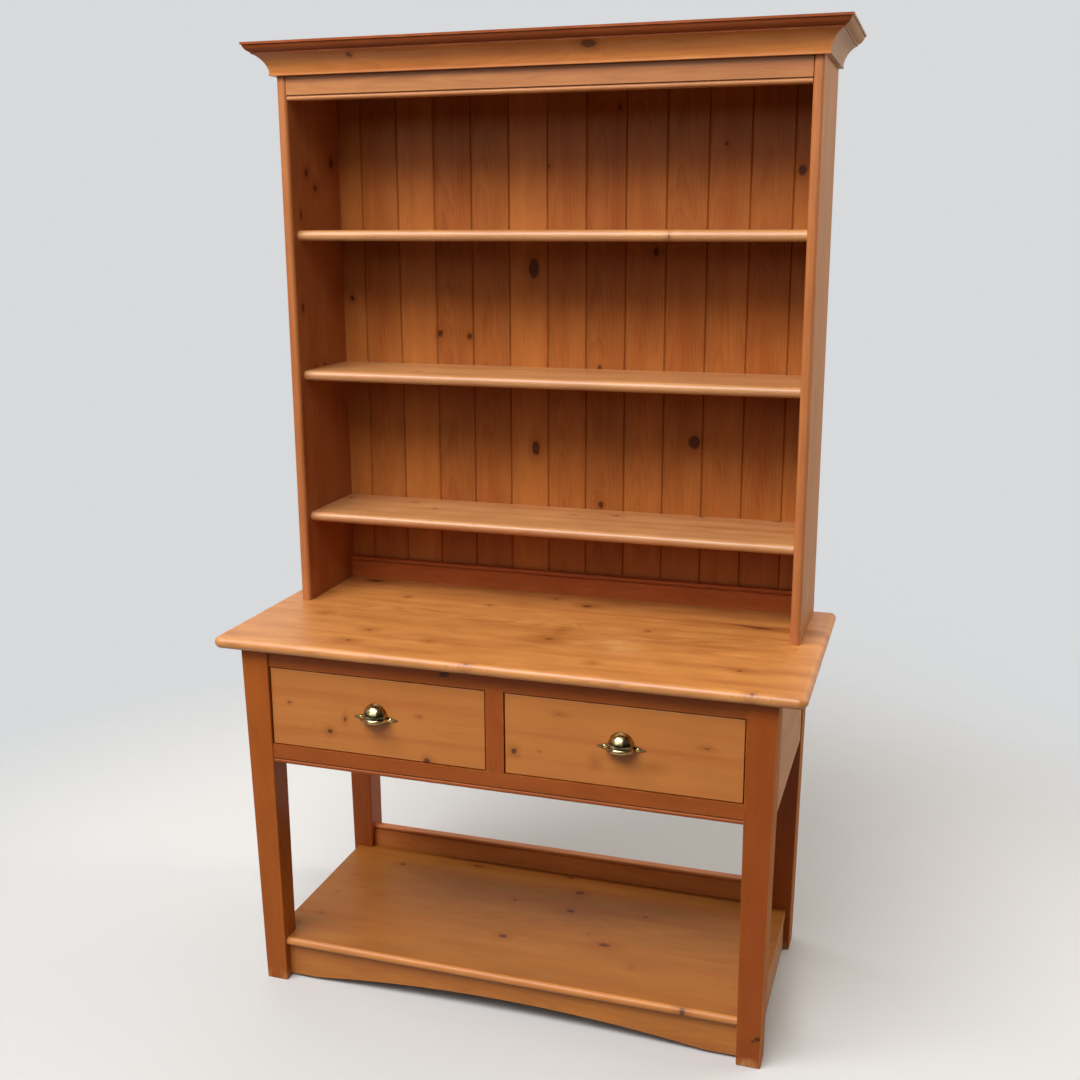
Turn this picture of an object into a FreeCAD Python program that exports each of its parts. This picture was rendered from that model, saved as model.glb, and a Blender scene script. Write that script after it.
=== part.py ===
import FreeCAD, Part
import math
import os

from FreeCAD import Vector

# Welsh dresser in pine: an open potboard table with two drawers, and a plate rack standing on it.
# X is the width, -Y the front, +Z up. The origin is on the floor under the middle of the table top.
# All sizes are in millimetres.

# Table top
table_width = 1226.0
table_depth = 550.0
table_thick = 24.0
table_height = 800.0
table_corner = 18.0
nose_flat = 0.2

# Legs: upright on their two inner faces, planed to a taper on the outer ones
leg_size = 60.0
leg_taper = 11.0
leg_arris = 2.5
foot_chamfer = 2.0
leg_front_overhang = 25.0
leg_side_overhang = 53.0
leg_back_overhang = 4.0

# Rails and aprons under the table top
rail_set_back = 6.0
rail_thick = 24.0
apron_thick = 22.0
apron_height = 253.0
top_rail_height = 38.0
bottom_rail_height = 42.0
muntin_width = 38.0
muntin_tenon = 12.0
tenon_thick = 10.0
tenon_length = 25.0
tenon_shoulder = 10.0

# Quirked bead worked on rail edges
bead = 9.0
quirk = 2.2

# Drawers
drawer_rear_space = 55.0
drawer_gap_side = 2.5
drawer_gap_top = 3.0
drawer_gap_bottom = 2.0
drawer_front_thick = 22.0
drawer_front_set_back = 2.0
drawer_front_arris = 1.2
drawer_side_thick = 12.0
drawer_side_drop = 5.0
drawer_back_thick = 12.0
drawer_back_inset = 14.0
drawer_back_drop = 8.0
drawer_back_housing = 5.0
drawer_bottom_thick = 6.0
drawer_bottom_raise = 10.0
drawer_groove = 5.5
dovetail_lap = 14.0
dovetail_flare = 3.0
dovetail_count = 4
slide_clear = 0.3

# Runners, guides, kickers and stops for the drawers
runner_width = 26.0
runner_thick = 20.0
runner_housing = 6.0
guide_height = 25.0
guide_clear = 1.0
kicker_thick = 20.0
stop_length = 20.0
stop_height = 14.0

# Buttons that hold the table top down
button_length = 45.0
button_width = 30.0
button_thick = 18.0
button_tongue = 8.0
button_grip = 8.0
button_play = 0.5
side_button_pitch = 220.0
cross_button_pitch = 240.0
screw_diameter = 4.0
screw_head_diameter = 8.0
screw_length = 30.0

# Potboard and the rails under it
potboard_height = 100.0
potboard_thick = 18.0
potboard_set_back = 16.0
potboard_side_lip = 3.0
plinth_set_back = 30.0
plinth_side_set_back = 25.0
plinth_thick = 20.0
plinth_clear = 8.0
arch_rise = 28.0
arch_flat = 65.0
low_tenon_length = 18.0
low_tenon_thick = 8.0
upstand_height = 54.0
upstand_thick = 18.0
upstand_set_back = 14.0

# Plate rack; heights are above the table top
rack_side_inset = 49.0
rack_depth = 250.0
rack_height = 1190.0
upright_thick = 22.0
upright_round = 8.0
shelf_thick = 22.0
shelf_set_back = 22.0
shelf_lower_height = 203.0
shelf_middle_height = 522.0
shelf_upper_height = 823.0
housing_depth = 6.0
housing_stop = 14.0
frieze_height = 103.0
frieze_thick = 20.0
frieze_set_back = 2.0
top_board_thick = 18.0
rack_rail_height = 51.0
rack_rail_thick = 14.0
dowel_diameter = 10.0
dowel_length = 36.0
dowel_in_table = 16.0
dowel_spacing = 140.0

# Tongue-and-groove boards of the rack back: wide ones, and a narrow one showing at each end
board_count = 11
board_end_show = 54.7
board_thick = 14.0
board_back_recess = 4.0
board_rebate = 12.0
board_gap = 0.6
board_vee = 2.5
tongue_length = 5.0
tongue_thick = 4.0
tongue_clear = 0.3

# Cornice: its top stands above the rack, and its section starts at its bottom edge
cornice_rise = 9.0
cornice_height = 63.0
cornice_out = 51.0
cornice_lip = 10.0
cornice_lip_height = 4.5
cornice_quirk = 1.5
cove_top_out = 32.5
cove_top_height = 41.0
cove_sag = 4.3
cornice_step = 3.0
ovolo_out = 13.0
ovolo_height = 14.5
ovolo_swell = 3.0

# Brass cup pulls: a half bell with a flared lip, on a pointed back plate
pull_width = 99.0
pull_ear_height = 20.0
pull_plate_thick = 1.6
pull_cup_height = 41.0
pull_cup_radius = 25.5
pull_shoulder_radius = 19.5
pull_shoulder_height = 28.5
pull_neck_height = 6.0
pull_lip_radius = 32.2
pull_lip_edge = 1.4
pull_wall = 1.5
pull_axis_inset = 3.0
pull_drop = 8.0
pull_lift = 1.0
pull_screw_spacing = 67.0
pull_screw_head = 8.5
pull_screw_dome = 2.6
pull_screw_shank = 3.4
pull_screw_length = 16.0

# Places worked out from the sizes above
leg_out = table_width / 2 - leg_side_overhang
leg_in = leg_out - leg_size
leg_front = -table_depth / 2 + leg_front_overhang
leg_back = table_depth / 2 - leg_back_overhang
leg_front_inner = leg_front + leg_size
leg_back_inner = leg_back - leg_size
leg_top = table_height - table_thick
rail_front = leg_front + rail_set_back
rail_rear = rail_front + rail_thick
apron_out = leg_out - rail_set_back
apron_in = apron_out - apron_thick
back_apron_rear = leg_back - rail_set_back
back_apron_front = back_apron_rear - apron_thick
apron_bottom = leg_top - apron_height
opening_bottom = apron_bottom + bottom_rail_height
opening_top = leg_top - top_rail_height
half_muntin = muntin_width / 2
drawer_face = rail_front + drawer_front_set_back
drawer_front_rear = drawer_face + drawer_front_thick
drawer_rear = back_apron_front - drawer_rear_space
drawer_out = leg_in - drawer_gap_side
drawer_near = half_muntin + drawer_gap_side
drawer_low = opening_bottom + drawer_gap_bottom
drawer_high = opening_top - drawer_gap_top
side_low = opening_bottom + slide_clear
side_high = drawer_high - drawer_side_drop
drawer_middle = (drawer_out + drawer_near) / 2
drawer_centre = (drawer_low + drawer_high) / 2
potboard_low = potboard_height - potboard_thick
plinth_front_face = leg_front + plinth_set_back
plinth_front_rear = plinth_front_face + plinth_thick
plinth_out = leg_out - plinth_side_set_back
plinth_in = plinth_out - plinth_thick
plinth_back_rear = leg_back - plinth_thick
plinth_back_face = plinth_back_rear - plinth_thick
upstand_face = leg_back_inner + upstand_set_back
rack_out = table_width / 2 - rack_side_inset
rack_in = rack_out - upright_thick
rack_back = table_depth / 2
rack_front = rack_back - rack_depth
rack_top = table_height + rack_height
board_rear = rack_back - board_back_recess
board_face = board_rear - board_thick
shelf_front = rack_front + shelf_set_back
boards_half = rack_in - board_end_show
board_cover = 2 * boards_half / board_count
frieze_front = rack_front + frieze_set_back
frieze_rear = frieze_front + frieze_thick
frieze_bottom = rack_top - frieze_height
cornice_bottom = rack_top + cornice_rise - cornice_height


def box(x0, x1, y0, y1, z0, z1):
    """A block between two corners."""
    return Part.makeBox(x1 - x0, y1 - y0, z1 - z0, Vector(x0, y0, z0))


def joined(first, *others):
    """One solid out of touching or crossing ones, with no seams left on flat faces."""
    return first.fuse(list(others)).removeSplitter()


def mirrored(shape):
    """The same piece on the other side of the dresser."""
    return shape.mirror(Vector(0, 0, 0), Vector(1, 0, 0))


def outline(*steps):
    """A closed face through points; a pair is an arc (middle, end) and a list a smooth curve."""
    edges = []
    here = steps[0]
    for step in steps[1:] + (steps[0],):
        if isinstance(step, tuple):
            middle, end = step
            edges.append(Part.Arc(here, middle, end).toShape())
        elif isinstance(step, list):
            end = step[-1]
            curve = Part.BSplineCurve()
            curve.interpolate([here] + step)
            edges.append(curve.toShape())
        else:
            end = step
            if (end - here).Length > 0.001:
                edges.append(Part.makeLine(here, end))
        here = end
    return Part.Face(Part.Wire(edges))


def edges_at(shape, test):
    """The edges whose middle point passes a test."""
    found = []
    for edge in shape.Edges:
        middle = edge.valueAt((edge.FirstParameter + edge.LastParameter) / 2)
        if test(middle):
            found.append(edge)
    return found


def near(a, b):
    return abs(a - b) < 0.01


def beaded_rail(half_length, face, rear, low, high, bead_up):
    """A rail along X with a quirked bead on the top or bottom edge of its front face."""
    radius = bead / 2
    hollow = face + radius
    if bead_up:
        edge, inward, far = high, -1, low
    else:
        edge, inward, far = low, 1, high
    x = -half_length
    profile = outline(
        Vector(x, rear, edge),
        Vector(x, hollow, edge),
        (Vector(x, face, edge + inward * radius), Vector(x, hollow, edge + inward * bead)),
        Vector(x, hollow, edge + inward * (bead + quirk)),
        Vector(x, face, edge + inward * (bead + quirk)),
        Vector(x, face, far),
        Vector(x, rear, far),
    )
    return profile.extrude(Vector(2 * half_length, 0, 0))


def cross_tenons(half_length, length, y0, y1, z0, z1, thick, shoulder):
    """A tenon at each end of a rail along X, centred in its thickness."""
    middle = (y0 + y1) / 2
    right = box(half_length, half_length + length, middle - thick / 2, middle + thick / 2,
                z0 + shoulder, z1 - shoulder)
    return [right, mirrored(right)]


def depth_tenons(x0, x1, y0, y1, length, z0, z1, thick, shoulder):
    """A tenon at each end of a rail along Y, centred in its thickness."""
    middle = (x0 + x1) / 2
    tenons = []
    for a, b in ((y0 - length, y0), (y1, y1 + length)):
        tenons.append(box(middle - thick / 2, middle + thick / 2, a, b, z0 + shoulder, z1 - shoulder))
    return tenons


def tapered_leg(front):
    """A right-hand leg, 2 faces upright towards the frame and the outer faces drawn in at the foot."""
    if front:
        y0, y1, foot_y0 = leg_front, leg_front_inner, leg_front + leg_taper
    else:
        y0, y1, foot_y0 = leg_back_inner, leg_back, leg_back_inner
    foot = Part.makePolygon([
        Vector(leg_in, foot_y0, 0),
        Vector(leg_out - leg_taper, foot_y0, 0),
        Vector(leg_out - leg_taper, y1, 0),
        Vector(leg_in, y1, 0),
        Vector(leg_in, foot_y0, 0),
    ])
    head = Part.makePolygon([
        Vector(leg_in, y0, leg_top),
        Vector(leg_out, y0, leg_top),
        Vector(leg_out, y1, leg_top),
        Vector(leg_in, y1, leg_top),
        Vector(leg_in, y0, leg_top),
    ])
    leg = Part.makeLoft([foot, head], True, True)
    leg = leg.makeFillet(leg_arris, edges_at(leg, lambda p: 1 < p.z < leg_top - 1))
    return leg.makeChamfer(foot_chamfer, edges_at(leg, lambda p: near(p.z, 0)))


def make_table_top():
    """The top: front corners rounded in plan, half-round front and side edges, square back edge."""
    half, front, rear = table_width / 2, -table_depth / 2, table_depth / 2
    low = table_height - table_thick
    swing = table_corner * (1 - math.sqrt(0.5))
    plan = outline(
        Vector(-half, rear, low),
        Vector(-half, front + table_corner, low),
        (Vector(-half + swing, front + swing, low), Vector(-half + table_corner, front, low)),
        Vector(half - table_corner, front, low),
        (Vector(half - swing, front + swing, low), Vector(half, front + table_corner, low)),
        Vector(half, rear, low),
    )
    top = plan.extrude(Vector(0, 0, table_thick))
    rims = edges_at(top, lambda p: p.y < rear - 1 and (near(p.z, low) or near(p.z, table_height)))
    return top.makeFillet((table_thick - nose_flat) / 2, rims)


def make_front_rails():
    """Top rail, bottom rail with its bead, and the muntin tenoned between them."""
    top = box(-leg_in, leg_in, rail_front, rail_rear, opening_top, leg_top)
    top = joined(top, *cross_tenons(leg_in, tenon_length, rail_front, rail_rear,
                                    opening_top, leg_top, tenon_thick, tenon_shoulder))
    bottom = beaded_rail(leg_in, rail_front, rail_rear, apron_bottom, opening_bottom, False)
    bottom = joined(bottom, *cross_tenons(leg_in, tenon_length, rail_front, rail_rear,
                                          apron_bottom, opening_bottom, tenon_thick, tenon_shoulder))
    middle = (rail_front + rail_rear) / 2
    muntin = box(-half_muntin, half_muntin, rail_front, rail_rear, opening_bottom, opening_top)
    tenon = box(-half_muntin + tenon_shoulder, half_muntin - tenon_shoulder,
                middle - tenon_thick / 2, middle + tenon_thick / 2,
                opening_bottom - muntin_tenon, opening_top + muntin_tenon)
    muntin = joined(muntin, tenon)
    return top.cut(muntin), bottom.cut(muntin), muntin


def make_aprons():
    """The right side apron and the back apron, with their tenons."""
    side = box(apron_in, apron_out, leg_front_inner, leg_back_inner, apron_bottom, leg_top)
    side = joined(side, *depth_tenons(apron_in, apron_out, leg_front_inner, leg_back_inner, tenon_length,
                                      apron_bottom, leg_top, tenon_thick, tenon_shoulder))
    back = box(-leg_in, leg_in, back_apron_front, back_apron_rear, apron_bottom, leg_top)
    back = joined(back, *cross_tenons(leg_in, tenon_length, back_apron_front, back_apron_rear,
                                      apron_bottom, leg_top, tenon_thick, tenon_shoulder))
    return side, back


def make_drawer_supports():
    """Runners and kickers housed in the rails, guides beside the drawer sides, and the rear stops."""
    front, rear = rail_rear - runner_housing, back_apron_front + runner_housing
    centre_half = half_muntin + runner_width
    pieces = {}
    for name, low, thick in (("runner", opening_bottom - runner_thick, runner_thick),
                             ("kicker", opening_top, kicker_thick)):
        right = box(leg_in - runner_width, leg_in, front, rear, low, low + thick)
        pieces[name + "_right"] = right
        pieces[name + "_left"] = mirrored(right)
        pieces[name + "_centre"] = box(-centre_half, centre_half, front, rear, low, low + thick)
    guide_top = opening_bottom + guide_height
    right_guide = box(drawer_out + guide_clear, apron_in, leg_front_inner, leg_back_inner,
                      opening_bottom, guide_top)
    pieces["guide_right"] = right_guide
    pieces["guide_left"] = mirrored(right_guide)
    guide_half = drawer_near - guide_clear
    pieces["guide_centre"] = box(-guide_half, guide_half, rail_rear, back_apron_front,
                                 opening_bottom, guide_top)
    stop_front = drawer_rear + slide_clear
    stops = []
    for x in (drawer_out - drawer_side_thick, drawer_near):
        stop = box(x, x + drawer_side_thick, stop_front, stop_front + stop_length,
                   opening_bottom, opening_bottom + stop_height)
        stops += [stop, mirrored(stop)]
    return pieces, Part.makeCompound(stops)


def button_places():
    """Middle of each button on the face it grips, with the direction that leads to the table's middle."""
    places = []
    middle = (leg_front_inner + leg_back_inner) / 2
    for y in (middle - side_button_pitch / 2, middle + side_button_pitch / 2):
        places.append((Vector(apron_in, y, 0), Vector(-1, 0, 0)))
        places.append((Vector(-apron_in, y, 0), Vector(1, 0, 0)))
    for step in (-1.5, -0.5, 0.5, 1.5):
        x = step * cross_button_pitch
        places.append((Vector(x, rail_rear, 0), Vector(0, 1, 0)))
        places.append((Vector(x, back_apron_front, 0), Vector(0, -1, 0)))
    return places


def bar(start, direction, length, width, low, high):
    """A block that runs from a point along X or Y, centred on that line."""
    across = Vector(-direction.y, direction.x, 0) * (width / 2)
    end = start + direction * length
    corners = [start + across, start - across, end + across, end - across]
    xs = [c.x for c in corners]
    ys = [c.y for c in corners]
    return box(min(xs), max(xs), min(ys), max(ys), low, high)


def make_buttons():
    """Buttons with a tongue in the apron, their screws, and the pockets that the tongues need."""
    low = leg_top - button_thick
    buttons, screws, pockets = [], [], []
    for place, inward in button_places():
        block = bar(place, inward, button_length - button_grip, button_width, low, leg_top)
        tongue = bar(place, inward * -1, button_grip, button_width, low, low + button_tongue)
        pocket = bar(place, inward * -1, button_grip + button_play, button_width + 2 * button_play,
                     low, low + button_tongue)
        hole = place + inward * ((button_length - button_grip) / 2) + Vector(0, 0, low)
        head_depth = (screw_head_diameter - screw_diameter) / 2
        head = Part.makeCone(screw_head_diameter / 2, screw_diameter / 2, head_depth, hole)
        shank = Part.makeCylinder(screw_diameter / 2, screw_length - head_depth,
                                  hole + Vector(0, 0, head_depth))
        screw = joined(head, shank)
        buttons.append(joined(block, tongue).cut(screw))
        screws.append(screw)
        pockets.append(pocket)
    return buttons, screws, pockets


def make_potboard():
    """The low shelf, notched round the legs, with a half-round front edge."""
    half = plinth_out + potboard_side_lip
    front = leg_front + potboard_set_back
    board = box(-leg_in, leg_in, front, plinth_back_rear, potboard_low, potboard_height)
    nose = (potboard_thick - nose_flat) / 2
    board = board.makeFillet(nose, edges_at(board, lambda p: near(p.y, front) and near(p.x, 0)))
    wide = box(-half, half, leg_front_inner, leg_back_inner, potboard_low, potboard_height)
    return joined(board, wide)


def make_plinth():
    """Front rail with its shallow arch, right side rail and back rail, tenoned into the legs."""
    arch_half = leg_in - arch_flat
    face, rear = plinth_front_face, plinth_front_rear
    front = outline(
        Vector(-leg_in, face, plinth_clear),
        Vector(-arch_half, face, plinth_clear),
        (Vector(0, face, plinth_clear + arch_rise), Vector(arch_half, face, plinth_clear)),
        Vector(leg_in, face, plinth_clear),
        Vector(leg_in, face, potboard_low),
        Vector(-leg_in, face, potboard_low),
    ).extrude(Vector(0, plinth_thick, 0))
    front = joined(front, *cross_tenons(leg_in, low_tenon_length, face, rear, plinth_clear, potboard_low,
                                        low_tenon_thick, tenon_shoulder))
    side = box(plinth_in, plinth_out, leg_front_inner, leg_back_inner, plinth_clear, potboard_low)
    side = joined(side, *depth_tenons(plinth_in, plinth_out, leg_front_inner, leg_back_inner,
                                      low_tenon_length, plinth_clear, potboard_low,
                                      low_tenon_thick, tenon_shoulder))
    back = box(-leg_in, leg_in, plinth_back_face, plinth_back_rear, plinth_clear, potboard_low)
    back = joined(back, *cross_tenons(leg_in, low_tenon_length, plinth_back_face, plinth_back_rear,
                                      plinth_clear, potboard_low, low_tenon_thick, tenon_shoulder))
    return front, side, back


def make_upstand():
    """The beaded rail that stands on the back of the potboard, between the rear legs."""
    high = potboard_height + upstand_height
    rear = upstand_face + upstand_thick
    rail = beaded_rail(leg_in, upstand_face, rear, potboard_height, high, True)
    return joined(rail, *cross_tenons(leg_in, low_tenon_length, upstand_face, rear,
                                      potboard_height, high, low_tenon_thick, tenon_shoulder))


def dovetail_side(x0, x1):
    """A drawer side with half-blind tails at its front end and a housing for the drawer back."""
    side = box(x0, x1, drawer_front_rear, drawer_rear, side_low, side_high)
    pitch = (side_high - drawer_low) / dovetail_count
    root = pitch * 0.5
    tip = drawer_front_rear - dovetail_lap
    tails = []
    for index in range(dovetail_count):
        middle = drawer_low + pitch * (index + 0.5)
        tail = outline(
            Vector(x0, drawer_front_rear, middle - root / 2),
            Vector(x0, tip, middle - root / 2 - dovetail_flare),
            Vector(x0, tip, middle + root / 2 + dovetail_flare),
            Vector(x0, drawer_front_rear, middle + root / 2),
        )
        tails.append(tail.extrude(Vector(x1 - x0, 0, 0)))
    return joined(side, *tails)


def make_drawer():
    """The right-hand drawer: front, two dovetailed sides, back and bottom."""
    front = box(drawer_near, drawer_out, drawer_face, drawer_front_rear, drawer_low, drawer_high)
    front = front.makeFillet(drawer_front_arris, edges_at(front, lambda p: near(p.y, drawer_face)))
    inner_near = drawer_near + drawer_side_thick
    inner_out = drawer_out - drawer_side_thick
    near_side = dovetail_side(drawer_near, inner_near)
    out_side = dovetail_side(inner_out, drawer_out)
    bottom_low = drawer_low + drawer_bottom_raise
    bottom_high = bottom_low + drawer_bottom_thick
    bottom = box(inner_near - drawer_groove, inner_out + drawer_groove,
                 drawer_front_rear - drawer_groove, drawer_rear, bottom_low, bottom_high)
    back_rear = drawer_rear - drawer_back_inset
    back = box(inner_near - drawer_back_housing, inner_out + drawer_back_housing,
               back_rear - drawer_back_thick, back_rear, bottom_high, side_high - drawer_back_drop)
    return {
        "front": front.cut(near_side).cut(out_side).cut(bottom),
        "side_left": near_side.cut(bottom).cut(back),
        "side_right": out_side.cut(bottom).cut(back),
        "back": back,
        "bottom": bottom,
    }


def bell(wall):
    """A whole bell on the pull's axis; wall is taken off all over to give the hollow inside it."""
    lip = pull_lip_radius - wall
    neck = pull_cup_radius - wall
    top = pull_cup_height - wall
    profile = outline(
        Vector(0, 0, 0),
        Vector(lip, 0, 0),
        Vector(lip, 0, pull_lip_edge),
        [Vector((lip + neck) / 2, 0, (pull_lip_edge + pull_neck_height) / 2 - pull_lip_edge / 2),
         Vector(neck, 0, pull_neck_height + pull_lip_edge)],
        [Vector((neck * 3 + pull_shoulder_radius) / 4, 0, (pull_neck_height + pull_shoulder_height) / 2),
         Vector(pull_shoulder_radius - wall, 0, pull_shoulder_height),
         Vector(pull_shoulder_radius / 2, 0, (pull_shoulder_height + 3 * top) / 4),
         Vector(0, 0, top)],
    )
    solid = profile.revolve(Vector(0, 0, 0), Vector(0, 0, 1), 360)
    solid.translate(Vector(0, pull_axis_inset, 0))
    return solid


def make_pull():
    """The cup pull with its pointed ears, and its two round-headed screws."""
    ear = pull_ear_height / 2
    tip = pull_width / 2
    plate = outline(
        Vector(-tip, 0, pull_drop),
        (Vector(0, 0, pull_drop + ear), Vector(tip, 0, pull_drop)),
        (Vector(0, 0, pull_drop - ear), Vector(-tip, 0, pull_drop)),
    ).extrude(Vector(0, -pull_plate_thick, 0))
    ahead = box(-tip, tip, -tip, 0, 0, pull_cup_height)
    cup = bell(0.0).fuse(plate).common(ahead).cut(bell(pull_wall))
    head = pull_screw_head / 2
    shank = pull_screw_shank / 2
    section = outline(
        Vector(0, -pull_screw_dome, 0),
        (Vector(head * 0.72, -pull_screw_dome * 0.6, 0), Vector(head, 0, 0)),
        Vector(shank, 0, 0),
        Vector(shank, pull_screw_length, 0),
        Vector(0, pull_screw_length, 0),
    )
    screws = []
    for side in (-1, 1):
        screw = section.revolve(Vector(0, 0, 0), Vector(0, 1, 0), 360)
        screw.translate(Vector(side * pull_screw_spacing / 2, -pull_plate_thick, pull_drop))
        screws.append(screw)
    for screw in screws:
        cup = cup.cut(screw)
    foot = Vector(drawer_middle, drawer_face, drawer_centre - pull_drop - pull_lift)
    cup.translate(foot)
    for screw in screws:
        screw.translate(foot)
    return cup, screws


def make_shelf(height):
    """A rack shelf with a half-round front, and a stub at each end for the stopped housings."""
    high = table_height + height
    low = high - shelf_thick
    shelf = box(-rack_in, rack_in, shelf_front, board_face, low, high)
    nose = (shelf_thick - nose_flat) / 2
    shelf = shelf.makeFillet(nose, edges_at(shelf, lambda p: near(p.y, shelf_front) and near(p.x, 0)))
    stub = box(rack_in, rack_in + housing_depth, shelf_front + housing_stop, board_face, low, high)
    return joined(shelf, stub, mirrored(stub))


def make_rack_rails():
    """The frieze rail, the dust board behind it and the beaded rail along the table top."""
    frieze = beaded_rail(rack_in, frieze_front, frieze_rear, frieze_bottom, rack_top, False)
    frieze = joined(frieze, *cross_tenons(rack_in, housing_depth, frieze_front, frieze_rear,
                                          frieze_bottom, rack_top, tenon_thick, tenon_shoulder))
    top_low = rack_top - top_board_thick
    top = box(-rack_in - housing_depth, rack_in + housing_depth, frieze_rear, board_face, top_low, rack_top)
    back_rail = beaded_rail(rack_in, board_face - rack_rail_thick, board_face,
                            table_height, table_height + rack_rail_height, True)
    return frieze, top, back_rail


def make_upright(housed):
    """The right upright: rounded front edge, rebate for the back boards, housings for what it carries."""
    upright = box(rack_in, rack_out, rack_front, rack_back, table_height, rack_top)
    upright = upright.makeFillet(upright_round, edges_at(
        upright, lambda p: near(p.y, rack_front) and table_height + 1 < p.z < rack_top - 1))
    rebate = box(rack_in, rack_in + board_rebate, board_face, rack_back, table_height, rack_top)
    upright = upright.cut(rebate)
    for piece in housed:
        upright = upright.cut(piece)
    return upright


def make_dowels():
    """Dowels that locate the uprights on the table top, with their holes' places."""
    x = (rack_in + rack_out) / 2
    middle = (rack_front + board_face) / 2
    dowels = []
    for y in (middle - dowel_spacing / 2, middle + dowel_spacing / 2):
        dowel = Part.makeCylinder(dowel_diameter / 2, dowel_length,
                                  Vector(x, y, table_height - dowel_in_table))
        dowels += [dowel, mirrored(dowel)]
    return dowels


def match_board(x0, x1, grooved, tongued):
    """A back board with a groove on its left edge, a tongue on its right and a vee on each joint."""
    low, high = table_height, rack_top
    middle = (board_face + board_rear) / 2
    board = box(x0, x1, board_face, board_rear, low, high)
    vees = []
    if grooved:
        vees.append(x0)
    if tongued:
        vees.append(x1)
    corners = edges_at(board, lambda p: near(p.y, board_face) and low + 1 < p.z < high - 1
                       and any(near(p.x, x) for x in vees))
    board = board.makeChamfer(board_vee, corners)
    if tongued:
        tongue = box(x1, x1 + tongue_length, middle - tongue_thick / 2, middle + tongue_thick / 2, low, high)
        board = joined(board, tongue)
    if grooved:
        half = tongue_thick / 2 + tongue_clear
        depth = tongue_length + tongue_clear - board_gap
        board = board.cut(box(x0, x0 + depth, middle - half, middle + half, low, high))
    return board


def make_back_boards():
    """The wide boards as a group, and the narrow one at each end, which sits in the upright's rebate."""
    rebate_edge = rack_in + board_rebate - tongue_clear
    seams = [-boards_half + board_cover * index for index in range(board_count + 1)]
    half_gap = board_gap / 2
    wide = [match_board(a + half_gap, b - half_gap, True, True) for a, b in zip(seams, seams[1:])]
    left = match_board(-rebate_edge, seams[0] - half_gap, False, True)
    right = match_board(seams[-1] + half_gap, rebate_edge, True, False)
    return wide, left, right


def cornice_profile():
    """Section of the cornice, outwards along X from the face that it is fixed to and upwards along Z."""
    ovolo_start = cove_top_out + cornice_step
    ovolo_low = cove_top_height + cornice_step
    cove_start = cornice_lip - cornice_quirk
    cove_middle = Vector((cove_start + cove_top_out) / 2 - cove_sag, 0,
                         (cornice_lip_height + cove_top_height) / 2 + cove_sag * 0.7)
    ovolo_end = ovolo_start + ovolo_out
    ovolo_high = ovolo_low + ovolo_height
    ovolo_middle = Vector((ovolo_start + ovolo_end) / 2 + ovolo_swell * 0.6, 0,
                          (ovolo_low + ovolo_high) / 2 - ovolo_swell * 0.6)
    return outline(
        Vector(0, 0, 0),
        Vector(cornice_lip, 0, 0),
        Vector(cornice_lip, 0, cornice_lip_height),
        Vector(cove_start, 0, cornice_lip_height),
        (cove_middle, Vector(cove_top_out, 0, cove_top_height)),
        Vector(ovolo_start, 0, cove_top_height),
        Vector(ovolo_start, 0, ovolo_low),
        (ovolo_middle, Vector(ovolo_end, 0, ovolo_high)),
        Vector(cornice_out, 0, ovolo_high),
        Vector(cornice_out, 0, cornice_height),
        Vector(0, 0, cornice_height),
    )


def make_cornice():
    """Front length and right return, mitred where they meet."""
    corner = Vector(rack_out, rack_front, cornice_bottom)
    reach = cornice_out + cornice_lip
    mitre = outline(
        corner,
        corner + Vector(reach, -reach, 0),
        corner + Vector(reach, rack_depth + reach, 0),
        corner + Vector(0, rack_depth + reach, 0),
    ).extrude(Vector(0, 0, cornice_height))
    run = cornice_profile()
    run.translate(Vector(rack_out, rack_front - reach, cornice_bottom))
    side = run.extrude(Vector(0, rack_depth + reach, 0)).common(mitre)
    run = cornice_profile()
    run.rotate(Vector(0, 0, 0), Vector(0, 0, 1), -90)
    run.translate(Vector(-rack_out - reach, rack_front, cornice_bottom))
    front = run.extrude(Vector(2 * (rack_out + reach), 0, 0)).cut(mitre).cut(mirrored(mitre))
    return front, side


nodes = {}

# The table
table_top = make_table_top()
rail_top, rail_bottom, nodes["muntin_front"] = make_front_rails()
apron_right, apron_back = make_aprons()
apron_left = mirrored(apron_right)
supports, nodes["drawer_stops"] = make_drawer_supports()
nodes.update(supports)
for name in ("left", "centre", "right"):
    for part in ("runner", "kicker"):
        rail_top = rail_top.cut(supports[part + "_" + name])
        rail_bottom = rail_bottom.cut(supports[part + "_" + name])
        apron_back = apron_back.cut(supports[part + "_" + name])
buttons, button_screws, pockets = make_buttons()
for pocket in pockets:
    rail_top = rail_top.cut(pocket)
    apron_back = apron_back.cut(pocket)
    apron_left = apron_left.cut(pocket)
    apron_right = apron_right.cut(pocket)
plinth_front, plinth_right, plinth_back = make_plinth()
plinth_left = mirrored(plinth_right)
upstand = make_upstand()
nodes["rail_front_top"] = rail_top
nodes["rail_front_bottom"] = rail_bottom
nodes["apron_left"] = apron_left
nodes["apron_right"] = apron_right
nodes["apron_back"] = apron_back
nodes["table_top_buttons"] = Part.makeCompound(buttons)
nodes["table_top_screws"] = Part.makeCompound(button_screws)
nodes["potboard"] = make_potboard()
nodes["plinth_front"] = plinth_front
nodes["plinth_left"] = plinth_left
nodes["plinth_right"] = plinth_right
nodes["plinth_back"] = plinth_back
nodes["potboard_upstand"] = upstand
frame_joints = [rail_top, rail_bottom, apron_left, apron_right, apron_back,
                plinth_front, plinth_left, plinth_right, plinth_back, upstand]
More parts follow.
